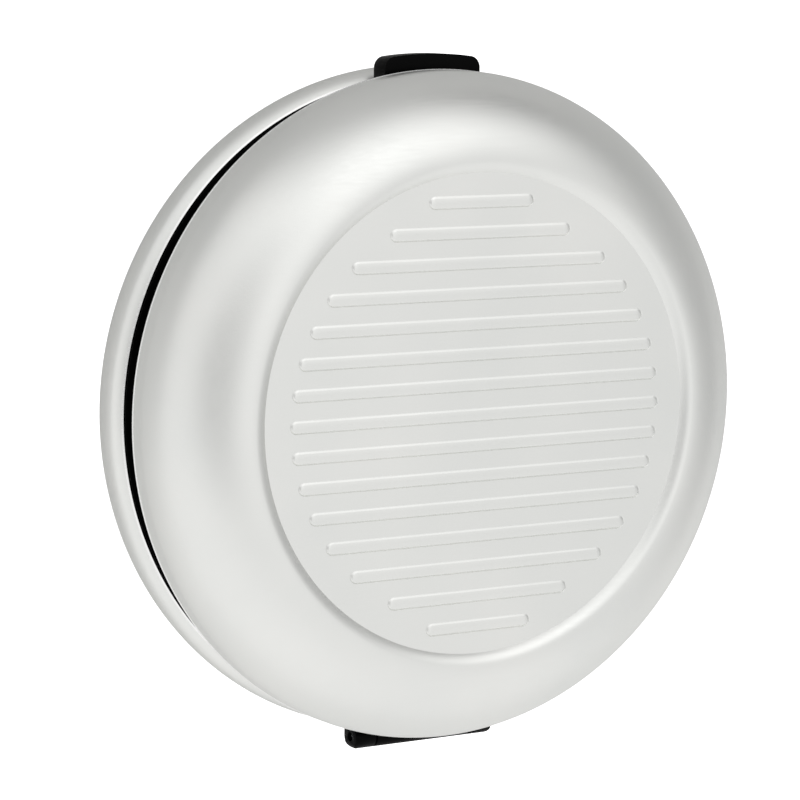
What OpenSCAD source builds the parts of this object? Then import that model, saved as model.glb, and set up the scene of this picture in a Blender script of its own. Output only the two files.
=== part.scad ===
// Round pocket coin dispenser: two drawn aluminium dishes hinged at the back and latched at the
// front, over a black tray of sprung coin wells.
// Origin: the centre of the flat ring that it rests on. +Z goes out of the lid, +Y to the latch.

/* [Shells] */
// Outer radius of the lid at its rim
lid_r = 43; // [42.9:0.1:43.1]
// Outer radius of the base at its widest
base_r = 43.4; // [43.4:0.1:43.6]
// Height of the lid from its rim to its crown
lid_h = 11.8; // [11.6:0.1:12.4]
// Height of the base from its rim to its crown
base_h = 12.7; // [12.6:0.1:12.8]
// Black seam between the two rims
seam = 4.9; // [4.8:0.1:5]
// Thickness of the aluminium sheet
sheet = 0.5; // [0.4:0.1:0.6]
// Straight part of the lid's wall above its rim
lid_wall = 2.4; // [2:0.1:3]
// Height of the base's rim, which leans inward, above its widest place
base_wall = 2.4; // [2.2:0.1:2.6]
// How far the base's rim leans inward
base_lean = 1.5; // [1.3:0.1:1.5]

/* [Ribbed panel] */
// Radius of the sunk panel's floor
panel_r = 30.4; // [29:0.1:30.6]
// Depth of the panel below the crown
panel_depth = 0.75; // [0.5:0.05:0.9]
// Distance from one rib to the next
rib_pitch = 3.84; // [3.6:0.02:3.9]
// Width of a rib
rib_w = 1.55; // [1.2:0.05:1.8]
// How far a rib stands off the panel
rib_h = 0.15; // [0.1:0.05:0.5]

/* [Coins] */
// Diameter of the coin in the middle well
middle_coin_d = 25.75; // [24:0.05:25.8]
// Free space round a coin in its well
coin_play = 0.25; // [0.15:0.05:0.3]
// Wall of a well
well_wall = 0.5; // [0.4:0.05:0.55]
// How far a pusher goes down
pusher_travel = 8; // [6:0.5:8]

/* [Hinge and latch] */
// Radius of the hinge's knuckles
knuckle_r = 1.6; // [1.4:0.1:1.6]
// Radius of the hinge pin
pin_r = 0.6; // [0.5:0.05:0.7]
// Length of the whole hinge
hinge_w = 20.4; // [19:0.1:21]
// Half the width of the latch button
button_half = 7; // [6:0.05:7.05]
// How far the latch button goes in
button_travel = 1.2; // [0.8:0.1:1.2]

/* [Hidden] */
$fn = 96;
ring_coins = [24.25, 18.75, 22.25, 16.25, 21.25, 19.75, 23.25];
ring_thickness = [2.38, 1.67, 2.14, 1.67, 1.67, 1.93, 2.33];
coins = concat(ring_coins, [middle_coin_d]);
thickness = concat(ring_thickness, [2.2]);
ring_count = len(ring_coins);
last = len(coins) - 1;

crown_in = 31.5;
crown_out = 32.3;
corner_out = 0.25;
corner_drop = 0.2;
inner_crown = 0.5;
inner_floor = 0.6;
rim_trim = 0.62;
rim_curve = 2.6;
rim_steps = 6;
lid_n = 1.67;
base_n = 1.8;
lid_rim = base_h + seam;
slip = 0.1;
liner_t = 0.85;
liner_floor = 1.6;
end_rib = 7;
rib_squeeze = 1.02;
end_rib_half = 1.96;

deck_r = 40.8;
deck_top = 19;
deck_bottom = 17.8;
skirt_in = deck_r - 0.6;
flange_top = 13;
flange_bottom = 12;
flange_r = 41.75;
well_floor = 7;
floor_t = 0.8;
lip_t = 0.8;
lip_reach = 1.2;
lip_wall = 0.6;
lip_gap = 0.25;
lip_angle = 140;
pusher_play = 0.2;
pusher_top_t = 1.2;
pusher_skirt = 4.2;
pusher_wall = 0.9;
spring_wire = 0.35;
spring_turns = 4.5;

post_r = 2.2;
post_at = 37.05;
pilot_r = 0.92;
screw_r = 0.9;
screw_head_r = 1.8;
screw_l = 9;
head_h = 1.1;
slot_floor = 0.6;
slot_half = 0.25;
slot_reach = 1.3;
post_gaps = [1, 3, 4, 6];

hinge_y = -43.4;
hinge_z = 13.8;
foot_in = -40.5;
foot_rise = 0.4;
arm_gap_y = -41.2;
lid_arm_in = -41.5;
lid_arm_t = 1;
lid_post_out = -42.35;
lug_w = 3;
lug_corner = 0.8;
hinge_room = 0.4;
lug_gap = 0.25;
pin_fit = 0.02;
pin_run = 0.06;
pin_short = 0.4;

liner_bottom = 16.4;
button_out = 45;
button_in = 42.1;
button_bottom = 13.2;
button_top = 16.2;
button_side = 43.15;
button_corner = 1.5;
stem_bottom = 14.3;
arm_half = 4;
arm_in = 39.6;
arm_t = 1;
catch_h = 1.1;
nose_reach = 0.5;
nose_flat = 0.4;
nose_h = 1.2;
pocket_half = 4.5;
pocket_in = 37.4;
pocket_wall = 0.6;
latch_z = 16.9;
latch_spring_r = 1.3;
latch_wire = 0.16;
latch_turns = 3;

function well_out(i) = coins[i] / 2 + coin_play + well_wall;
function ring_at(i) = skirt_in - 0.05 - well_out(i);
function half_angle(i) = asin(well_out(i) / ring_at(i));
function sum_half(n) = n == 0 ? 0 : half_angle(n - 1) + sum_half(n - 1);
spare = (360 - 2 * sum_half(ring_count)) / ring_count;
// Angle of the gap before well i, and of well i itself, counted clockwise from the latch
function gap_angle(i) = 90 - 2 * sum_half(i) - i * spare;
function well_angle(i) = gap_angle(i) - spare / 2 - half_angle(i);
function well_pos(i) = i == last ? [0, 0, 0]
    : [ring_at(i) * cos(well_angle(i)), ring_at(i) * sin(well_angle(i)), 0];
function pusher_z(i) = deck_top + thickness[i] + lip_gap - 0.05;
function rib_half(k) = rib_pitch * (abs(k) < end_rib
    ? sqrt(pow(end_rib, 2) - pow(rib_squeeze * k, 2)) : end_rib_half);

// ---- shapes used more than once ----

// The rounded shoulder of a dish, from the top of its straight wall to its crown
function shoulder(r, wall, h, n, steps = 14) = [for (i = [0 : steps]) let (a = 90 * i / steps)
    [crown_out + (r - crown_out) * pow(cos(a), 2 / n), wall + (h - wall) * pow(sin(a), 2 / n)]];

// The outside and the inside of a rim that leans inward by lean over its wall; 0 leaves it straight
function rim_out(r, wall, lean) = lean == 0 ? [[r, 0]]
    : [for (i = [0 : rim_steps - 1]) [r - lean * pow(1 - i / rim_steps, rim_curve), wall * i / rim_steps]];
function rim_in(r, wall, lean) = lean == 0 ? [[r - sheet, -1]]
    : concat([[r - lean, -1]], [for (i = [0 : rim_steps - 1])
        [r - sheet - (lean - sheet) * pow(1 - i / rim_steps, rim_curve),
         rim_trim + (wall - rim_trim) * i / rim_steps]]);

// A filled dish outline, inset by off from the outside and cut level at top
module dish(r, wall, h, n, off, top) {
    intersection() {
        polygon(concat([[0, 0], [r - off, 0]], shoulder(r - off, wall, h - off, n),
            [[0, h - off]]));
        square([r, top]);
    }
}

// Half section of a drawn sheet dish with its sunk panel, rim at height 0
module shell_section(r, wall, h, n, lean) {
    floor_h = h - panel_depth;
    difference() {
        polygon(concat([[0, 0]], rim_out(r, wall, lean), shoulder(r, wall, h, n),
            [[crown_in, h], [panel_r + corner_out, h - corner_drop], [panel_r, floor_h],
             [0, floor_h]]));
        polygon(concat([[0, -1]], rim_in(r, wall, lean), shoulder(r - sheet, wall, h - sheet, n),
            [[crown_in + inner_crown, h - sheet], [panel_r + inner_floor, floor_h - sheet],
             [0, floor_h - sheet]]));
    }
}

// Half section of a moulded liner that follows a dish from the inside
module liner_section(r, wall, h, n) {
    top = h - panel_depth - sheet - 0.05;
    difference() {
        dish(r, wall, h, n, sheet + slip, top);
        translate([0, -1]) square([r - sheet - slip - liner_t, 1.01]);
        dish(r, wall, h, n, sheet + slip + liner_t, top - liner_t);
    }
}

// The row of round-ended ribs on a sunk panel whose floor is at height 0
module ribs() {
    for (k = [-end_rib : end_rib]) translate([0, k * rib_pitch, -0.1]) linear_extrude(rib_h + 0.1) {
        reach = rib_half(k) - rib_w / 2;
        square([2 * reach, rib_w], center = true);
        for (s = [-1, 1]) translate([s * reach, 0]) circle(d = rib_w, $fn = 24);
    }
}

module drawn_shell(r, wall, h, n, lean = 0) {
    rotate_extrude() shell_section(r, wall, h, n, lean);
    translate([0, 0, h - panel_depth]) ribs();
}

// A block given by its corners
module block(low, high) {
    translate(low) cube(high - low);
}

// A rod along X between two places
module x_rod(r, x0, x1) {
    translate([x0, hinge_y, hinge_z]) rotate([0, 90, 0]) cylinder(r = r, h = x1 - x0, $fn = 48);
}

// A coil spring of round wire, standing on height 0
module coil(r, wire, h, turns) {
    sides = 6;
    per_turn = 12;
    rings = turns * per_turn;
    points = [for (i = [0 : rings]) let (a = 360 * i / per_turn, z = wire + (h - 2 * wire) * i / rings)
        for (j = [0 : sides - 1]) let (b = 360 * j / sides)
            [(r + wire * cos(b)) * cos(a), (r + wire * cos(b)) * sin(a), z + wire * sin(b)]];
    walls = [for (i = [0 : rings - 1]) for (j = [0 : sides - 1]) let (k = (j + 1) % sides)
        [i * sides + j, i * sides + k, (i + 1) * sides + k, (i + 1) * sides + j]];
    ends = [[for (j = [sides - 1 : -1 : 0]) j],
        [for (j = [0 : sides - 1]) rings * sides + j]];
    polyhedron(points, concat(walls, ends));
}

// ---- base, standing still ----

module base_shell() {
    color("gainsboro") difference() {
        translate([0, 0, base_h]) mirror([0, 0, 1])
            drawn_shell(base_r, base_wall, base_h, base_n, base_lean);
        hinge_cut();
    }
}

// The gap left for the hinge in the base's rim
module hinge_cut() {
    out = hinge_w / 2 + 0.3;
    block([-out, -50, hinge_z - knuckle_r - hinge_room], [out, -40, base_h + 1]);
}

module base_liner() {
    wall_top = base_h - base_wall;
    color("black") difference() {
        union() {
            translate([0, 0, base_h]) mirror([0, 0, 1]) rotate_extrude()
                liner_section(base_r, base_wall, base_h, base_n);
            intersection() {
                translate([0, 0, base_h]) mirror([0, 0, 1]) rotate_extrude()
                    dish(base_r, base_wall, base_h, base_n, sheet + slip, base_h - liner_floor);
                screw_posts();
            }
            translate([0, 0, wall_top - 1]) screw_posts(deck_bottom - wall_top + 1);
        }
        translate([0, 0, wall_top]) difference() {
            cylinder(r = 50, h = 10);
            screw_posts(30);
        }
        for (g = post_gaps) at_gap(g) translate([0, 0, deck_bottom - screw_l])
            cylinder(r = pilot_r, h = screw_l + 1);
    }
}

module at_gap(g) {
    rotate(gap_angle(g)) translate([post_at, 0, 0]) children();
}

module screw_posts(h = 16) {
    for (g = post_gaps) at_gap(g) cylinder(r = post_r, h = h);
}

module tray_screws() {
    color("silver") for (g = post_gaps) at_gap(g) {
        translate([0, 0, deck_top - screw_l + 0.5]) cylinder(r = screw_r, h = screw_l - 0.5);
        translate([0, 0, deck_top]) difference() {
            cylinder(r = screw_head_r, h = head_h);
            block([-slot_half, -slot_reach, slot_floor], [slot_half, slot_reach, 2 * head_h]);
            block([-slot_reach, -slot_half, slot_floor], [slot_reach, slot_half, 2 * head_h]);
        }
    }
}

// The hook-shaped lip that keeps a coin in well i, on the well's outer side
module coin_lip(i) {
    wall_in = coins[i] / 2 + coin_play + 0.05;
    sunk = 0.2;
    shelf = sunk + thickness[i] + lip_gap;
    facing = i == last ? -90 : well_angle(i);
    translate(well_pos(i) + [0, 0, deck_top - sunk]) rotate(facing - lip_angle / 2)
        rotate_extrude(angle = lip_angle) difference() {
            translate([wall_in - lip_reach, 0]) square([lip_reach + lip_wall, shelf + lip_t]);
            translate([wall_in - lip_reach - 1, -1]) square([lip_reach + 1, shelf + 1]);
        }
}

module coin_tray() {
    color("black") difference() {
        union() {
            rotate_extrude() {
                translate([0, deck_bottom]) square([deck_r, deck_top - deck_bottom]);
                translate([skirt_in, flange_bottom])
                    square([deck_r - skirt_in, deck_bottom - flange_bottom + 0.1]);
                translate([skirt_in, flange_bottom])
                    square([flange_r - skirt_in, flange_top - flange_bottom]);
            }
            for (i = [0 : last]) coin_lip(i);
            latch_pocket();
            for (s = [-1, 1]) hinge_lug(s);
        }
        for (i = [0 : last]) translate(well_pos(i) + [0, 0, deck_bottom - 1])
            cylinder(r = coins[i] / 2 + coin_play, h = deck_top - deck_bottom + 2);
        for (g = post_gaps) at_gap(g) translate([0, 0, deck_bottom - 1])
            cylinder(r = screw_r + 0.15, h = 3);
        block([-pocket_half, pocket_in, flange_top], [pocket_half, 50, deck_top + 1]);
        block([-button_half - 0.5, 41, 0], [button_half + 0.5, 50, button_top + 0.3]);
        block([lug_w - hinge_w / 2, -50, 0],
            [hinge_w / 2 - lug_w, arm_gap_y, liner_bottom]);
        x_rod(pin_r + pin_fit, -hinge_w, hinge_w);
    }
}

// The closed pocket behind the latch button's arm
module latch_pocket() {
    out = pocket_half + pocket_wall;
    intersection() {
        block([-out, pocket_in - pocket_wall, flange_bottom], [out, 45, deck_bottom + 0.1]);
        cylinder(r = skirt_in + 0.1, h = deck_top);
    }
}

// A fixed knuckle of the hinge on its foot, with its outer corner rounded in plan
module hinge_lug(s) {
    out = hinge_w / 2;
    intersection() {
        union() {
            x_rod(knuckle_r, min(s * out, s * (out - lug_w)), max(s * out, s * (out - lug_w)));
            block([min(s * out, s * (out - lug_w)), hinge_y, hinge_z - knuckle_r],
                [max(s * out, s * (out - lug_w)), foot_in, hinge_z + foot_rise]);
        }
        linear_extrude(30) {
            translate([-out, hinge_y - knuckle_r + lug_corner]) square([2 * out, 10]);
            translate([lug_corner - out, hinge_y - 5]) square([2 * (out - lug_corner), 10]);
            for (e = [-1, 1]) translate([e * (out - lug_corner), hinge_y - knuckle_r + lug_corner])
                circle(r = lug_corner, $fn = 32);
        }
    }
}

module coin_well(i) {
    r = coins[i] / 2 + coin_play;
    color("dimgray") translate(well_pos(i)) difference() {
        translate([0, 0, well_floor - floor_t])
            cylinder(r = r + well_wall, h = deck_bottom - well_floor + floor_t);
        translate([0, 0, well_floor]) cylinder(r = r, h = deck_bottom);
    }
}

module hinge_pin() {
    color("silver") x_rod(pin_r, pin_short - hinge_w / 2, hinge_w / 2 - pin_short);
}

// ---- moving pieces ----

module coin_pusher(i) {
    r = coins[i] / 2 - pusher_play;
    color("black") translate(well_pos(i) + [0, 0, pusher_z(i)]) difference() {
        translate([0, 0, -pusher_top_t - pusher_skirt])
            cylinder(r = r, h = pusher_top_t + pusher_skirt);
        translate([0, 0, -pusher_top_t - pusher_skirt - 1])
            cylinder(r = r - pusher_wall, h = pusher_skirt + 1);
    }
}

module pusher_spring(i) {
    free = pusher_z(i) - pusher_top_t - well_floor - 0.1;
    color("silver") translate(well_pos(i) + [0, 0, well_floor + 0.05])
        coil(0.3 * coins[i], spring_wire, free, spring_turns);
}

module latch_button() {
    corner = button_corner;
    color("black") {
        translate([0, 0, button_bottom]) linear_extrude(button_top - button_bottom) difference() {
            intersection() {
                circle(r = button_out, $fn = 192);
                union() {
                    translate([0, button_out]) square([2 * (button_half - corner), 10], center = true);
                    translate([-button_half, 40]) square([2 * button_half, button_side - 40]);
                    for (s = [-1, 1]) translate([s * (button_half - corner), button_side])
                        circle(r = corner, $fn = 32);
                }
            }
            circle(r = button_in, $fn = 192);
        }
        block([-arm_half, arm_in, stem_bottom], [arm_half, button_in + 0.3, button_top - 0.1]);
        block([-arm_half, arm_in, stem_bottom], [arm_half, arm_in + arm_t, deck_top + 0.2]);
        translate([-arm_half + 0.4, arm_in + arm_t - 0.01, liner_bottom + catch_h + 0.2])
            rotate([90, 0, 90]) linear_extrude(2 * arm_half - 0.8)
                polygon([[0, 0], [nose_reach, 0], [nose_reach, nose_flat], [0, nose_h]]);
    }
}

module latch_spring() {
    color("silver") translate([0, pocket_in + 0.05, latch_z]) rotate([-90, 0, 0])
        coil(latch_spring_r, latch_wire, arm_in - pocket_in - 0.1, latch_turns);
}

module lid_shell() {
    color("gainsboro") translate([0, 0, lid_rim]) drawn_shell(lid_r, lid_wall, lid_h, lid_n);
}

module lid_liner() {
    wall_in = lid_r - sheet - slip - liner_t;
    wall_h = lid_rim - liner_bottom;
    arm_top = hinge_z + knuckle_r;
    knuckle_half = hinge_w / 2 - lug_w - lug_gap;
    color("black") difference() {
        union() {
            translate([0, 0, lid_rim]) rotate_extrude() {
                liner_section(lid_r, lid_wall, lid_h, lid_n);
                translate([wall_in, -wall_h]) square([liner_t, wall_h + 0.1]);
            }
            x_rod(knuckle_r, -knuckle_half, knuckle_half);
            block([-knuckle_half, hinge_y, arm_top - lid_arm_t], [knuckle_half, lid_arm_in, arm_top]);
            block([-knuckle_half, lid_post_out, arm_top - lid_arm_t],
                [knuckle_half, lid_arm_in, lid_rim - 0.2]);
        }
        block([-arm_half - 0.4, 38, liner_bottom + catch_h],
            [arm_half + 0.4, wall_in + liner_t + 0.05, deck_top + 0.4]);
        x_rod(pin_r + pin_run, -hinge_w, hinge_w);
    }
}

base_shell();
base_liner();
coin_tray();
tray_screws();
hinge_pin();
latch_button();
latch_spring();
lid_shell();
lid_liner();
for (i = [0 : last]) {
    coin_well(i);
    coin_pusher(i);
    pusher_spring(i);
}
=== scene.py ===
"""Looks of the round pocket coin dispenser.

The two drawn aluminium dishes, the coil springs, the pushers and the wells are new meshes that stand
for their CAD nodes. The moulded black pieces and the small steel ones are softened copies.
"""

import math

import bmesh
import bpy
from mathutils import Matrix, Vector, geometry


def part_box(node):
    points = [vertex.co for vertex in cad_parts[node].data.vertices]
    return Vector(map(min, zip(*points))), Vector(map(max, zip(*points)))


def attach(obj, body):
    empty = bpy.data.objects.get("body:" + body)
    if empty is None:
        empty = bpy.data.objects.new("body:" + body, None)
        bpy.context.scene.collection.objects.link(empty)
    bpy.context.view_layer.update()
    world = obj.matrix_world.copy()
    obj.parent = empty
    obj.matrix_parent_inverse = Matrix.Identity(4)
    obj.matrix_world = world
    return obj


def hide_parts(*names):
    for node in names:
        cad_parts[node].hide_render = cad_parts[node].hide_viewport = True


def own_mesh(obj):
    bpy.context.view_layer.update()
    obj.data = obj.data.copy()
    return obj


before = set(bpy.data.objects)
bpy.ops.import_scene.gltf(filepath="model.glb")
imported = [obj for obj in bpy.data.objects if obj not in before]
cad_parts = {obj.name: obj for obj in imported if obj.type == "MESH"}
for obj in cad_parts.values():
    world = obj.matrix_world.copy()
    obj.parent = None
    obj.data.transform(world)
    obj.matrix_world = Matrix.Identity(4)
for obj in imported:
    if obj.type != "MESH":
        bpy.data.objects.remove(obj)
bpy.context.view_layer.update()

MM = 0.001
COLLECTION = bpy.context.scene.collection

# ---- sizes taken from the frame ----

BASE_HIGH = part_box("base_shell")[1]
LID_LOW, LID_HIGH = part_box("lid_shell")
PIN_LOW, PIN_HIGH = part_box("hinge_pin")
BASE_R = BASE_HIGH.x
LID_R = LID_HIGH.x

# The hinge's knuckles stand out past the pin's ends and below its underside by these.
KNUCKLE_END = 0.4 * MM
KNUCKLE_WALL = 1.0 * MM
HINGE_HALF = PIN_HIGH.x + KNUCKLE_END
HINGE_LOW = PIN_LOW.z - KNUCKLE_WALL

# ---- sizes of the drawn dishes ----

SHEET = 0.5 * MM
COLUMNS = 288

# The shoulder ends at CROWN_OUT, and the crown starts to bend down to the panel at CROWN_IN.
CROWN_OUT = 32.3 * MM
CROWN_IN = 32.1 * MM
PANEL_R = 30.5 * MM
PANEL_DEPTH = 0.75 * MM

# The walls are the heights of the upright or leaning part next to the rim, and the powers are
# those of the superellipses that the shoulders follow.
LID_WALL = 2.4 * MM
LID_POWER = 1.67
BASE_WALL = 2.4 * MM
BASE_POWER = 1.8

# The base's rim leans in by BASE_LEAN at its end, where it is trimmed to a narrow bright land.
BASE_LEAN = 1.5 * MM
LEAN_CURVE = 2.6
INNER_TRIM = 0.62 * MM
LAND = 0.14 * MM

# ---- sizes of the ribs ----

RIBS_EACH_SIDE = 7
RIB_PITCH = 3.84 * MM
RIB_W = 1.55 * MM
RIB_H = 0.15 * MM
RIB_BORDER = 0.22 * MM
RIB_SHELF = 0.75 * RIB_H
RIB_RAMP_STEEP = 0.13 * MM
RIB_RAMP_SOFT = 0.28 * MM
RIB_CREASE = 0.09 * MM

# ---- other details ----

# The range in which most of a noise texture's values lie.
NOISE_LOW, NOISE_HIGH = 0.3, 0.7


# ---- small helpers ----

def add_object(name, mesh, body, materials):
    """Links a finished mesh, gives it its materials and lets it ride on a body."""
    piece = bpy.data.objects.new(name, mesh)
    COLLECTION.objects.link(piece)
    for material in materials:
        mesh.materials.append(material)
    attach(piece, body)
    return piece


def finish_mesh(bm, name, sharp_degrees=32.0):
    """Turns a bmesh into a smooth-shaded mesh whose real corners stay sharp."""
    bmesh.ops.recalc_face_normals(bm, faces=bm.faces)
    limit = math.radians(sharp_degrees)
    for face in bm.faces:
        face.smooth = True
    for edge in bm.edges:
        edge.smooth = not (len(edge.link_faces) == 2 and edge.calc_face_angle(0.0) > limit)
    mesh = bpy.data.meshes.new(name)
    bm.to_mesh(mesh)
    bm.free()
    return mesh


def lathe(bm, outline, columns, centre=(0.0, 0.0)):
    """Turns a closed outline of (radius, height) points round a vertical axis."""
    rings = []
    for radius, height in outline:
        if radius < 1e-7:
            rings.append([bm.verts.new((centre[0], centre[1], height))] * columns)
            continue
        ring = []
        for i in range(columns):
            angle = 2 * math.pi * i / columns
            x = centre[0] + radius * math.cos(angle)
            y = centre[1] + radius * math.sin(angle)
            ring.append(bm.verts.new((x, y, height)))
        rings.append(ring)
    for a, b in zip(rings, rings[1:] + rings[:1]):
        for i in range(columns):
            j = (i + 1) % columns
            corners = []
            for vert in (a[i], a[j], b[j], b[i]):
                if vert not in corners:
                    corners.append(vert)
            if len(corners) > 2:
                bm.faces.new(corners)


# ---- materials ----

def new_material(name):
    """A new material with its node tree and its Principled shader."""
    material = bpy.data.materials.new(name)
    material.use_nodes = True
    tree = material.node_tree
    return material, tree, tree.nodes["Principled BSDF"]


def add_noise(tree, scale, detail=2.0, stretch=(1, 1, 1), roughness=0.5):
    """A noise texture in object space, stretched along the axes."""
    place = tree.nodes.new("ShaderNodeTexCoord")
    mapping = tree.nodes.new("ShaderNodeMapping")
    mapping.inputs["Scale"].default_value = stretch
    noise = tree.nodes.new("ShaderNodeTexNoise")
    noise.inputs["Scale"].default_value = scale
    noise.inputs["Detail"].default_value = detail
    noise.inputs["Roughness"].default_value = roughness
    tree.links.new(place.outputs["Object"], mapping.inputs["Vector"])
    tree.links.new(mapping.outputs["Vector"], noise.inputs["Vector"])
    return noise.outputs["Fac"]


def spread(tree, value, low, high):
    """Maps a noise value onto a range of roughness."""
    node = tree.nodes.new("ShaderNodeMapRange")
    node.inputs["From Min"].default_value = NOISE_LOW
    node.inputs["From Max"].default_value = NOISE_HIGH
    node.inputs["To Min"].default_value = low
    node.inputs["To Max"].default_value = high
    tree.links.new(value, node.inputs["Value"])
    return node.outputs["Result"]


def tint(tree, value, dark, light):
    """A colour between two close tones, driven by a noise value."""
    ramp = tree.nodes.new("ShaderNodeValToRGB")
    ramp.color_ramp.elements[0].position = NOISE_LOW
    ramp.color_ramp.elements[1].position = NOISE_HIGH
    ramp.color_ramp.elements[0].color = (*dark, 1)
    ramp.color_ramp.elements[1].color = (*light, 1)
    tree.links.new(value, ramp.inputs["Fac"])
    return ramp.outputs["Color"]


def bump(tree, shader, layers):
    """Stacks (height value, strength, distance) layers into the shader's normal."""
    normal = None
    for value, strength, distance in layers:
        node = tree.nodes.new("ShaderNodeBump")
        node.inputs["Strength"].default_value = strength
        node.inputs["Distance"].default_value = distance
        tree.links.new(value, node.inputs["Height"])
        if normal is not None:
            tree.links.new(normal, node.inputs["Normal"])
        normal = node.outputs["Normal"]
    tree.links.new(normal, shader.inputs["Normal"])


def satin_aluminium():
    """Clear-anodised sheet: a fine blasted grain under a faint brushing along X."""
    material, tree, shader = new_material("satin_aluminium")
    shader.inputs["Metallic"].default_value = 1.0
    cloud = add_noise(tree, scale=55, detail=3)
    brushed = add_noise(tree, scale=1000, detail=3, stretch=(0.12, 3.5, 3.5))
    blasted = add_noise(tree, scale=5200)
    tree.links.new(tint(tree, cloud, (0.828, 0.836, 0.815), (0.868, 0.870, 0.846)),
                   shader.inputs["Base Color"])
    tree.links.new(spread(tree, brushed, 0.34, 0.41), shader.inputs["Roughness"])
    bump(tree, shader, [(brushed, 0.10, 0.06 * MM), (blasted, 0.10, 0.05 * MM)])
    return material


def cut_edge():
    """The trimmed edge of the sheet: bare bright metal with the trimming tool's fine lines."""
    material, tree, shader = new_material("cut_edge")
    shader.inputs["Metallic"].default_value = 1.0
    lines = add_noise(tree, scale=2500, stretch=(1, 1, 0.2))
    tree.links.new(tint(tree, lines, (0.93, 0.93, 0.92), (0.98, 0.98, 0.97)),
                   shader.inputs["Base Color"])
    tree.links.new(spread(tree, lines, 0.2, 0.32), shader.inputs["Roughness"])
    bump(tree, shader, [(lines, 0.05, 0.03 * MM)])
    return material


def moulded_plastic(name, dark, light, rough_low, rough_high):
    """Black moulded plastic with a fine spark-eroded skin and faint flow clouds."""
    material, tree, shader = new_material(name)
    shader.inputs["Specular IOR Level"].default_value = 0.04
    cloud = add_noise(tree, scale=90, detail=3)
    skin = add_noise(tree, scale=3800, detail=3, roughness=0.6)
    tree.links.new(tint(tree, cloud, dark, light), shader.inputs["Base Color"])
    tree.links.new(spread(tree, skin, rough_low, rough_high), shader.inputs["Roughness"])
    bump(tree, shader, [(skin, 0.18, 0.05 * MM)])
    return material


def drawn_wire():
    """Spring steel wire with the die's lines and a little oil darkening."""
    material, tree, shader = new_material("spring_wire")
    shader.inputs["Metallic"].default_value = 1.0
    lines = add_noise(tree, scale=1800, stretch=(1, 1, 4))
    tree.links.new(tint(tree, lines, (0.42, 0.41, 0.40), (0.56, 0.55, 0.54)),
                   shader.inputs["Base Color"])
    tree.links.new(spread(tree, lines, 0.22, 0.36), shader.inputs["Roughness"])
    bump(tree, shader, [(lines, 0.08, 0.03 * MM)])
    return material


def plated_steel():
    """Bright zinc plate with a soft crystalline bloom."""
    material, tree, shader = new_material("plated_steel")
    shader.inputs["Metallic"].default_value = 1.0
    bloom = add_noise(tree, scale=1400, detail=4)
    tree.links.new(tint(tree, bloom, (0.62, 0.63, 0.65), (0.74, 0.75, 0.76)),
                   shader.inputs["Base Color"])
    tree.links.new(spread(tree, bloom, 0.2, 0.34), shader.inputs["Roughness"])
    bump(tree, shader, [(bloom, 0.06, 0.03 * MM)])
    return material


ALUMINIUM = satin_aluminium()
CUT_EDGE = cut_edge()
BLACK = moulded_plastic("black_plastic", dark=(0.0008, 0.0008, 0.0008), light=(0.002, 0.002, 0.002),
                        rough_low=0.32, rough_high=0.44)
DARK = moulded_plastic("well_plastic", dark=(0.005, 0.005, 0.0055), light=(0.009, 0.009, 0.0095),
                       rough_low=0.42, rough_high=0.55)
WIRE = drawn_wire()
PLATED = plated_steel()


# ---- the drawn dishes ----

def superellipse(r_edge, wall, height, power, z):
    """Radius of a dish's rounded shoulder at height z above its rim."""
    if z <= wall:
        return r_edge
    rise = min((z - wall) / (height - wall), 1.0)
    return CROWN_OUT + (r_edge - CROWN_OUT) * (1 - rise ** power) ** (1 / power)


def shoulder_heights(wall, height, power, start, steps):
    """Heights up the shoulder, close together where it turns over to the crown."""
    heights = []
    for i in range(1, steps + 1):
        z = wall + (height - wall) * math.sin(math.pi / 2 * i / steps) ** (2 / power)
        if z > start:
            heights.append(z)
    return heights


def notch_columns(notches, radius):
    """(angle, cut) pairs round a dish: the columns and how deep the rim is cut away at each.

    A notch is (middle angle, half width, depth). Its corners at the rim and at its bottom are
    rounded, and two columns a hair apart make its upright side."""
    corner = 0.45 * MM
    hair = 0.01 * MM
    steps = 6
    special = []
    for middle, half, depth in notches:
        half_angle = math.asin(half / radius)
        for side in (-1, 1):
            edge = middle + side * half_angle
            for i in range(steps + 1):
                out = corner * (1 - i / steps)
                rise = corner - math.sqrt(max(corner ** 2 - (corner - out) ** 2, 0.0))
                special.append((edge + side * out / radius, rise))
                inside = hair + corner * i / steps
                left = corner - corner * i / steps
                low = depth - corner + math.sqrt(max(corner ** 2 - left ** 2, 0.0))
                special.append((edge - side * inside / radius, low))
    columns = []
    for i in range(COLUMNS):
        angle = 2 * math.pi * i / COLUMNS
        rise = 0.0
        clear = True
        for middle, half, depth in notches:
            away = abs(math.remainder(angle - middle, 2 * math.pi)) * radius
            half_arc = math.asin(half / radius) * radius
            if abs(away - half_arc) < 1.5 * corner:
                clear = False
            if away < half_arc:
                rise = depth
        if clear:
            columns.append((angle, rise))
    columns += [(angle % (2 * math.pi), rise) for angle, rise in special]
    return sorted(columns)


def stadium(half_length, straight_steps=12, round_steps=10):
    """(x, direction) pairs round a slot: a place on its middle line and the way out from there."""
    spokes = []
    for side in (1, -1):
        for i in range(straight_steps):
            spokes.append((side * half_length * (1 - 2 * i / straight_steps), Vector((0, side))))
        for i in range(round_steps):
            angle = side * math.pi / 2 + math.pi * i / round_steps
            spokes.append((-side * half_length, Vector((math.cos(angle), math.sin(angle)))))
    return spokes


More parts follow.
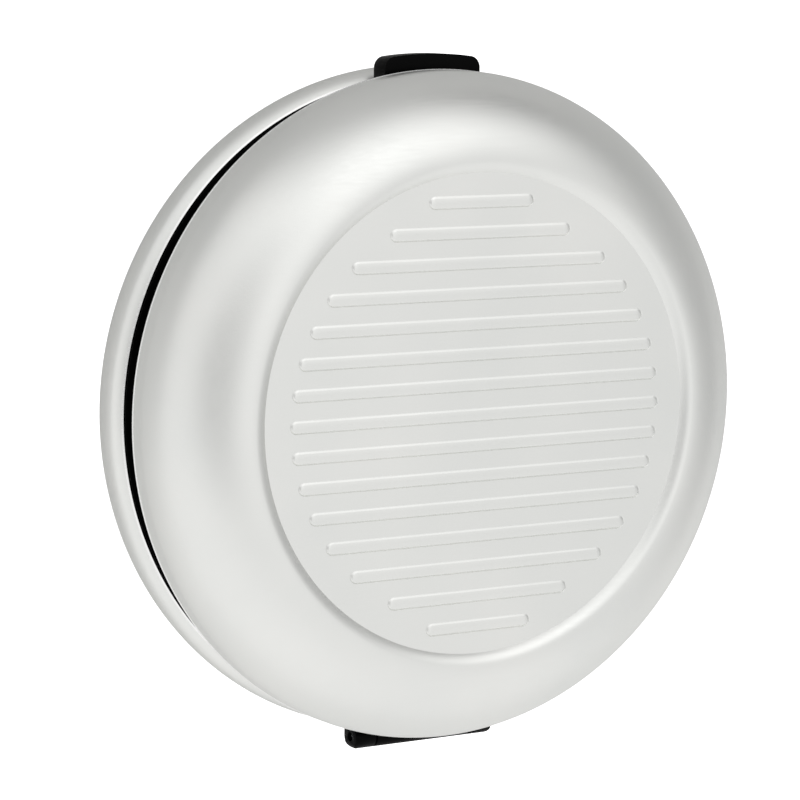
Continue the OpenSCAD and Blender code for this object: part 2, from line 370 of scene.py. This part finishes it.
def rib_levels(side):
    """(reach from the rib's middle line, height) pairs from its flat surround to its top.

    side goes from 1 at the edge towards the latch, which is a soft ramp, to -1 at the edge towards
    the hinge, which is steeper and has the die's fine crease at its foot."""
    soft = (1 + side) / 2
    ramp = RIB_RAMP_STEEP + (RIB_RAMP_SOFT - RIB_RAMP_STEEP) * soft
    crease = RIB_CREASE * (1 - soft)
    half = RIB_W / 2
    crease_start = half + 0.14 * MM
    crease_bottom = half + 0.05 * MM
    levels = [(half + RIB_BORDER, 0.0), (crease_start, 0.0), (crease_bottom, -crease)]
    for share in (0.0, 0.4, 0.8):
        levels.append((half - ramp * share, RIB_SHELF * share))
    levels.append((half - ramp, 0.94 * RIB_SHELF))
    top = half - ramp - 0.07 * MM
    for share in (1.0, 0.7, 0.35, 0.0):
        levels.append((top * share, RIB_SHELF + (RIB_H - RIB_SHELF) * (1 - share ** 2)))
    return levels


def rib_half_length(k):
    """Half the straight part of rib k: the ends lie on an ellipse, and the outermost ribs are short.

    The ellipse and the short ribs are stated in rib pitches, counted from the panel's middle."""
    half_width = 7.0
    squeeze = 1.02
    outermost = 1.96
    if abs(k) == RIBS_EACH_SIDE:
        return outermost * RIB_PITCH - RIB_W / 2
    return math.sqrt(half_width ** 2 - (squeeze * k) ** 2) * RIB_PITCH - RIB_W / 2


def add_panel(bm, rim_ring, floor):
    """Fills the sunk panel's floor inside rim_ring, with its row of pressed ribs."""
    corners = [Vector(vert.co[:2]) for vert in rim_ring]
    edges = [(i, (i + 1) % len(corners)) for i in range(len(corners))]
    verts = list(rim_ring)
    for k in range(-RIBS_EACH_SIDE, RIBS_EACH_SIDE + 1):
        y = k * RIB_PITCH
        rings = [[] for _ in rib_levels(0)]
        for x, way in stadium(rib_half_length(k)):
            for ring, (reach, rise) in zip(rings, rib_levels(way.y)):
                ring.append(bm.verts.new((x + reach * way.x, y + reach * way.y, floor + rise)))
        first = len(verts)
        count = len(rings[0])
        verts += rings[0]
        corners += [Vector(vert.co[:2]) for vert in rings[0]]
        edges += [(first + i, first + (i + 1) % count) for i in range(count)]
        for a, b in zip(rings, rings[1:]):
            for i in range(count):
                j = (i + 1) % count
                bm.faces.new((a[i], a[j], b[j], b[i]))
    _, _, faces, _, _, _ = geometry.delaunay_2d_cdt(corners, edges, [], 1, 1e-9, False)
    outer = RIB_W / 2 + RIB_BORDER
    for face in faces:
        middle = sum((corners[i] for i in face), Vector((0, 0))) / len(face)
        k = max(-RIBS_EACH_SIDE, min(RIBS_EACH_SIDE, round(middle.y / RIB_PITCH)))
        over = max(abs(middle.x) - rib_half_length(k), 0.0)
        if math.hypot(over, middle.y - k * RIB_PITCH) > outer:
            bm.faces.new([verts[i] for i in face])


def straight_rim():
    """The lid's trimmed rim as (inset from the outer radius, height, bright) points, inside first.

    A bead that stands a little proud runs along the outer edge, where the die pinched it off."""
    bead_out = 0.09 * MM
    bead_in = 0.01 * MM
    bead_half_height = 0.11 * MM
    points = [(SHEET, 0.3 * MM, False), (SHEET, 0.12 * MM, True), (SHEET - 0.04 * MM, 0.03 * MM, True),
              (SHEET - 0.14 * MM, 0.0, True), (0.1 * MM, 0.0, True)]
    for degrees in range(15, 136, 15):
        a = math.radians(degrees)
        points.append((bead_in - bead_out * math.sin(a), bead_half_height * (1 - math.cos(a)), True))
    points.append((0.0, 0.26 * MM, True))
    return points


def leaning_rim(cut):
    """The base's rim as the same kind of points, leaning inward; cut is how much of it is gone."""
    steps = 10
    inner_end = max(INNER_TRIM, cut)
    points = []
    for i in range(steps + 1):
        share = i / steps
        z = BASE_WALL + (inner_end - BASE_WALL) * share
        lean = (share * (BASE_WALL - inner_end) / (BASE_WALL - INNER_TRIM)) ** LEAN_CURVE
        points.append((SHEET + (BASE_LEAN - SHEET) * lean, z, i == steps))
    height = BASE_WALL - cut
    for depth in [height] + [(height - LAND) * (1 - i / steps) for i in range(steps + 1)]:
        inset = BASE_LEAN * (depth / BASE_WALL) ** LEAN_CURVE
        points.append((inset, BASE_WALL - depth, depth > height - 1.5 * LAND))
    return points


def outside_profile(radius, height, wall, power, start):
    """(radius, height) points from the rim up the shoulder, over the crown and down to the panel."""
    row = 0.45 * MM
    points = []
    z = start + row
    while z < wall - 0.2 * MM:
        points.append((radius, z))
        z += row
    if start < wall:
        points.append((radius, wall))
    for z in shoulder_heights(wall, height, power, wall, 60):
        points.append((superellipse(radius, wall, height, power, z), z))
    # The crown bends down more and more steeply to a sharp foot round the panel.
    steps = 14
    for i in range(steps + 1):
        share = i / steps
        points.append((CROWN_IN + (PANEL_R - CROWN_IN) * share, height - PANEL_DEPTH * share ** 2))
    points.append((PANEL_R - 0.6 * MM, height - PANEL_DEPTH))
    return points


def inside_profile(radius, height, wall, power, start):
    """(radius, height) points of the sheet's inside, from its rim to half the panel's radius."""
    floor = height - PANEL_DEPTH - SHEET
    points = []
    for z in shoulder_heights(wall, height - SHEET, power, max(wall, start), 18):
        points.append((superellipse(radius - SHEET, wall, height - SHEET, power, z), z))
    points.append((CROWN_OUT - 0.3 * MM, height - SHEET))
    points.append((PANEL_R + 0.5 * MM, floor))
    points.append((PANEL_R / 2, floor))
    return points


def drawn_dish(name, node, body, radius, height, wall, power, rim_z, facing, rim, notches):
    """A drawn sheet dish: rim, rounded shoulder, crown, sunk ribbed panel and the inside.

    It is made with its rim at zero and its panel up. rim_z and facing, 1 or -1, put it in place."""
    bm = bmesh.new()
    columns = notch_columns(notches, radius)
    count = len(columns)

    def turn(points):
        """One ring of vertices from a (radius, height) point for each column."""
        ring = []
        for (angle, _), (r, z) in zip(columns, points):
            ring.append(bm.verts.new((r * math.cos(angle), r * math.sin(angle), z)))
        return ring

    cuts = [rim(cut) for _, cut in columns]
    bright = [flag for _, _, flag in cuts[0]]
    rim_rings = [turn([(radius - cut[i][0], cut[i][1]) for cut in cuts]) for i in range(len(bright))]
    inner_start = cuts[0][0][1]
    outer_start = cuts[0][-1][1]
    outside = [turn([point] * count)
               for point in outside_profile(radius, height, wall, power, outer_start)]
    add_panel(bm, outside[-1], height - PANEL_DEPTH)
    inside = [turn([point] * count)
              for point in inside_profile(radius, height, wall, power, inner_start)]

    rings = list(reversed(inside)) + rim_rings + outside
    flags = [False] * len(inside) + bright + [False] * len(outside)
    for a, b, first, second in zip(rings, rings[1:], flags, flags[1:]):
        for i in range(count):
            j = (i + 1) % count
            face = bm.faces.new((a[i], a[j], b[j], b[i]))
            face.material_index = 1 if first and second else 0
    middle = bm.verts.new((0, 0, height - PANEL_DEPTH - SHEET))
    for i in range(count):
        bm.faces.new((middle, inside[-1][(i + 1) % count], inside[-1][i]))
    bmesh.ops.remove_doubles(bm, verts=bm.verts, dist=1e-7)
    bmesh.ops.transform(bm, verts=bm.verts,
                        matrix=Matrix.Translation((0, 0, rim_z)) @ Matrix.Diagonal((1, 1, facing, 1)))
    mesh = finish_mesh(bm, name, 28)
    piece = add_object(name, mesh, body, [ALUMINIUM, CUT_EDGE])
    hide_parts(node)


# The opening in the base's rim that the hinge stands in, with a little room round it.
HINGE_NOTCH = (-math.pi / 2, HINGE_HALF + 0.3 * MM, BASE_HIGH.z - HINGE_LOW + 0.4 * MM)

drawn_dish("lid_dish", "lid_shell", "lid", LID_R, LID_HIGH.z - LID_LOW.z, LID_WALL, LID_POWER,
           rim_z=LID_LOW.z, facing=1, rim=lambda cut: straight_rim(), notches=[])
drawn_dish("base_dish", "base_shell", "base", BASE_R, BASE_HIGH.z, BASE_WALL, BASE_POWER,
           rim_z=BASE_HIGH.z, facing=-1, rim=leaning_rim, notches=[HINGE_NOTCH])


# ---- moulded and turned pieces kept from the CAD, with softened edges ----

def softened(node, body, material, width, segments):
    """A copy of a CAD node with its edges rounded, which stands for the node."""
    bm = bmesh.new()
    bm.from_mesh(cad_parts[node].data)
    bmesh.ops.remove_doubles(bm, verts=bm.verts, dist=2e-6)
    flat = math.radians(0.6)
    sharp = math.radians(35)
    bmesh.ops.dissolve_limit(bm, angle_limit=flat, verts=bm.verts, edges=bm.edges)
    corners = [e for e in bm.edges if len(e.link_faces) == 2 and e.calc_face_angle(0.0) > sharp]
    bmesh.ops.bevel(bm, geom=corners, offset=width, segments=segments, profile=0.5,
                    affect="EDGES", clamp_overlap=True, harden_normals=False)
    mesh = finish_mesh(bm, node + "_moulding", 35)
    piece = add_object(node + "_moulding", mesh, body, [material])
    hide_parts(node)


softened("coin_tray", "base", BLACK, width=0.10 * MM, segments=2)
softened("base_liner", "base", BLACK, width=0.10 * MM, segments=2)
softened("lid_liner", "lid", BLACK, width=0.10 * MM, segments=2)
softened("latch_button", "latch", BLACK, width=0.25 * MM, segments=4)
softened("hinge_pin", "base", PLATED, width=0.12 * MM, segments=3)
softened("tray_screws", "base", PLATED, width=0.06 * MM, segments=2)


# ---- wells, pushers and springs ----

def rounded(points, radius, steps=4):
    """Rounds the corners of a closed (radius, height) outline, except on the axis."""
    out = []
    total = len(points)
    for i, point in enumerate(points):
        p = Vector(point)
        before = Vector(points[i - 1]) - p
        after = Vector(points[(i + 1) % total]) - p
        r = min(radius, before.length * 0.45, after.length * 0.45)
        if p.x < 1e-7 or r < 1e-7:
            out.append((p.x, p.y))
            continue
        a = p + before.normalized() * r
        b = p + after.normalized() * r
        for k in range(steps + 1):
            t = k / steps
            q = (1 - t) ** 2 * a + 2 * t * (1 - t) * p + t ** 2 * b
            out.append((q.x, q.y))
    return out


def turned(name, node, body, material, outline, centre, fillet):
    """A turned piece with rounded corners, which stands for a CAD node."""
    bm = bmesh.new()
    lathe(bm, rounded(outline, fillet), 96, centre)
    bmesh.ops.remove_doubles(bm, verts=bm.verts, dist=1e-7)
    piece = add_object(name, finish_mesh(bm, name, 40), body, [material])
    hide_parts(node)


def middle_of(node):
    """The middle of a node's box, seen from above."""
    low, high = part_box(node)
    return (low.x + high.x) / 2, (low.y + high.y) / 2


def make_well(i):
    """A round coin well: a plain cup."""
    node = f"coin_well_{i}"
    low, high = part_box(node)
    out = (high.x - low.x) / 2
    bore = out - 0.5 * MM
    floor = low.z + 0.8 * MM
    outline = [(0, low.z), (out, low.z), (out, high.z), (bore, high.z), (bore, floor), (0, floor)]
    turned(f"well_{i}", node, "base", DARK, outline, middle_of(node), 0.15 * MM)


def make_pusher(i):
    """An upside-down cup whose face is slightly dished inside a rounded border."""
    node = f"coin_pusher_{i}"
    low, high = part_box(node)
    out = (high.x - low.x) / 2
    wall = 0.9 * MM
    under = high.z - 1.2 * MM
    border = out - 1.4 * MM
    dish = 0.25 * MM
    outline = [(0, under), (out - wall, under), (out - wall, low.z), (out, low.z), (out, high.z),
               (border, high.z), (border - 0.4 * MM, high.z - dish), (0, high.z - dish)]
    turned(f"pusher_{i}", node, f"pusher_{i}", BLACK, outline, middle_of(node),
           0.25 * MM)


def coil_mesh(name, radius, wire, length, turns, close_ends=0.75, sides=12, per_turn=36):
    """A compression spring along Z from 0: its end turns lie almost flat and the wire is round."""
    bm = bmesh.new()
    rings = []
    steps = int(turns * per_turn)
    closed = close_ends / turns
    for i in range(steps + 1):
        turn = i / per_turn
        lead = min(turn, turns - turn) / close_ends
        if lead < 1:
            flat = 0.5 * closed * lead ** 2
            share = flat if turn < turns / 2 else 1 - flat
        else:
            share = 0.5 * closed + (1 - closed) * (turn - close_ends) / (turns - 2 * close_ends)
        z = wire + (length - 2 * wire) * share
        angle = 2 * math.pi * turn
        ring = []
        for k in range(sides):
            around = 2 * math.pi * k / sides
            r = radius + wire * math.cos(around)
            ring.append(bm.verts.new((r * math.cos(angle), r * math.sin(angle),
                                      z + wire * math.sin(around))))
        rings.append(ring)
    for a, b in zip(rings, rings[1:]):
        for k in range(sides):
            j = (k + 1) % sides
            bm.faces.new((a[k], a[j], b[j], b[k]))
    bm.faces.new(rings[0])
    bm.faces.new(rings[-1])
    return finish_mesh(bm, name, 50)


def make_pusher_spring(i):
    """The coil under a pusher, which squashes it; this mesh is rigid and rides on the base."""
    node = f"pusher_spring_{i}"
    low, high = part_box(node)
    wire = 0.35 * MM
    x, y = middle_of(f"coin_well_{i}")
    radius = (high.x - low.x) / 2 - wire
    mesh = coil_mesh(f"spring_{i}", radius, wire, high.z - low.z, turns=4.5)
    mesh.transform(Matrix.Translation((x, y, low.z)))
    piece = add_object(f"spring_{i}", mesh, "base", [WIRE])
    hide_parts(node)
    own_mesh(piece)


def make_latch_spring():
    """The short coil behind the latch button, lying along Y."""
    low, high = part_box("latch_spring")
    wire = 0.16 * MM
    mesh = coil_mesh("latch_coil", (high.x - low.x) / 2 - wire, wire, high.y - low.y, turns=3)
    turn = Matrix.Rotation(-math.pi / 2, 4, "X")
    mesh.transform(Matrix.Translation((0, low.y, (low.z + high.z) / 2)) @ turn)
    piece = add_object("latch_coil", mesh, "base", [WIRE])
    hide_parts("latch_spring")
    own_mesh(piece)


WELLS = sum(1 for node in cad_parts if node.startswith("coin_well_"))
for number in range(1, WELLS + 1):
    make_well(number)
    make_pusher(number)
    make_pusher_spring(number)
make_latch_spring()


# ---- floor, light and camera ----

FLOOR_R = 2.5
# Painted shade on the floor: its tone fades over this distance to both sides of the object's middle,
# along Y, down to the level below towards +Y and the latch.
PAINTED_SHADE_REACH = 70 * MM
PAINTED_SHADE_LEVEL = 0.62

# The tent's even brightness, and its patches as (azimuth, elevation, inner angle, outer angle,
# change of brightness). A change is full inside the inner angle and gone past the outer one.
TENT_LEVEL = 0.852
TENT_PATCHES = [
    (85, 50, 8, 60, 0.23), (60, 40, 5, 35, 0.37), (168, 60, 4, 30, -0.42),
    (20, 6, 10, 65, -0.43), (80, 0, 8, 50, -0.40), (-140, 15, 10, 70, 0.10),
    (-60, 25, 8, 50, 0.05), (-10, 20, 6, 45, 0.06)]

SENSOR = 36.0
LENS = 143.7
SHIFT_X, SHIFT_Y = 0.0097, -0.1604
CAMERA_AZIMUTH, CAMERA_ELEVATION, CAMERA_ROLL = 169.06, 59.89, 99.9
CAMERA_DISTANCE = 393.86 * MM
CAMERA_AIM = Vector((-12.87, 18.56, 28.65)) * MM


def add_floor():
    """Pale paper with painted shade, greyer towards the latch, that glows for the camera only."""
    bm = bmesh.new()
    bmesh.ops.create_circle(bm, cap_ends=True, segments=96, radius=FLOOR_R)
    mesh = finish_mesh(bm, "floor")
    floor = bpy.data.objects.new("floor", mesh)
    COLLECTION.objects.link(floor)
    material, tree, shader = new_material("floor_paper_painted_shade")
    fibre = add_noise(tree, scale=900, detail=3)
    place = tree.nodes.new("ShaderNodeTexCoord")
    axes = tree.nodes.new("ShaderNodeSeparateXYZ")
    tree.links.new(place.outputs["Object"], axes.inputs["Vector"])
    # Painted shade: the paper's colour darkens along Y, towards the latch.
    fade = tree.nodes.new("ShaderNodeMapRange")
    fade.inputs["From Min"].default_value = -PAINTED_SHADE_REACH
    fade.inputs["From Max"].default_value = PAINTED_SHADE_REACH
    fade.inputs["To Min"].default_value = 1.0
    fade.inputs["To Max"].default_value = PAINTED_SHADE_LEVEL
    tree.links.new(axes.outputs["Y"], fade.inputs["Value"])
    # The paper's fibre tint scaled by the painted shade.
    painted_shade_paper = tree.nodes.new("ShaderNodeVectorMath")
    painted_shade_paper.operation = "SCALE"
    tree.links.new(tint(tree, fibre, (0.92, 0.92, 0.915), (0.95, 0.95, 0.945)), painted_shade_paper.inputs[0])
    tree.links.new(fade.outputs["Result"], painted_shade_paper.inputs["Scale"])
    tree.links.new(painted_shade_paper.outputs["Vector"], shader.inputs["Base Color"])
    shader.inputs["Roughness"].default_value = 0.9
    shader.inputs["Specular IOR Level"].default_value = 0.1
    shader.inputs["Emission Color"].default_value = (1, 1, 1, 1)
    seen = tree.nodes.new("ShaderNodeLightPath")
    tree.links.new(seen.outputs["Is Camera Ray"], shader.inputs["Emission Strength"])
    mesh.materials.append(material)


def direction(azimuth, elevation):
    """A unit vector: azimuth turns from +X towards +Y, elevation goes up from the floor."""
    a, e = math.radians(azimuth), math.radians(elevation)
    return Vector((math.cos(a) * math.cos(e), math.sin(a) * math.cos(e), math.sin(e)))


def add_world():
    """A white light tent: one side glows, the far corner is dim and the lens has its opening."""
    world = bpy.data.worlds.new("light_tent")
    bpy.context.scene.world = world
    world.use_nodes = True
    tree = world.node_tree
    background = tree.nodes["Background"]
    place = tree.nodes.new("ShaderNodeTexCoord")
    level = None
    for azimuth, elevation, inner, outer, change in TENT_PATCHES:
        dot = tree.nodes.new("ShaderNodeVectorMath")
        dot.operation = "DOT_PRODUCT"
        dot.inputs[1].default_value = direction(azimuth, elevation)
        tree.links.new(place.outputs["Generated"], dot.inputs[0])
        fade = tree.nodes.new("ShaderNodeMapRange")
        fade.interpolation_type = "SMOOTHSTEP"
        fade.inputs["From Min"].default_value = math.cos(math.radians(outer))
        fade.inputs["From Max"].default_value = math.cos(math.radians(inner))
        fade.inputs["To Min"].default_value = 0.0
        fade.inputs["To Max"].default_value = change
        tree.links.new(dot.outputs["Value"], fade.inputs["Value"])
        total = tree.nodes.new("ShaderNodeMath")
        total.operation = "ADD"
        if level is None:
            total.inputs[1].default_value = TENT_LEVEL
        else:
            tree.links.new(level, total.inputs[1])
        tree.links.new(fade.outputs["Result"], total.inputs[0])
        level = total.outputs["Value"]
    tree.links.new(level, background.inputs["Strength"])
    background.inputs["Color"].default_value = (1, 1, 1, 1)


def add_camera():
    """The photograph's long lens, over the lid's left side and turned so that the latch is up."""
    data = bpy.data.cameras.new("camera")
    data.sensor_width = SENSOR
    data.lens = LENS
    data.shift_x = SHIFT_X
    data.shift_y = SHIFT_Y
    data.clip_start = 10 * MM
    camera = bpy.data.objects.new("camera", data)
    away = direction(CAMERA_AZIMUTH, CAMERA_ELEVATION)
    roll = Matrix.Rotation(math.radians(CAMERA_ROLL), 3, "Z")
    look = (-away).to_track_quat("-Z", "Y").to_matrix() @ roll
    camera.matrix_world = Matrix.Translation(CAMERA_AIM + away * CAMERA_DISTANCE) @ look.to_4x4()
    COLLECTION.objects.link(camera)
    bpy.context.scene.camera = camera


add_floor()
add_world()
add_camera()
bpy.context.scene.view_settings.view_transform = "Standard"
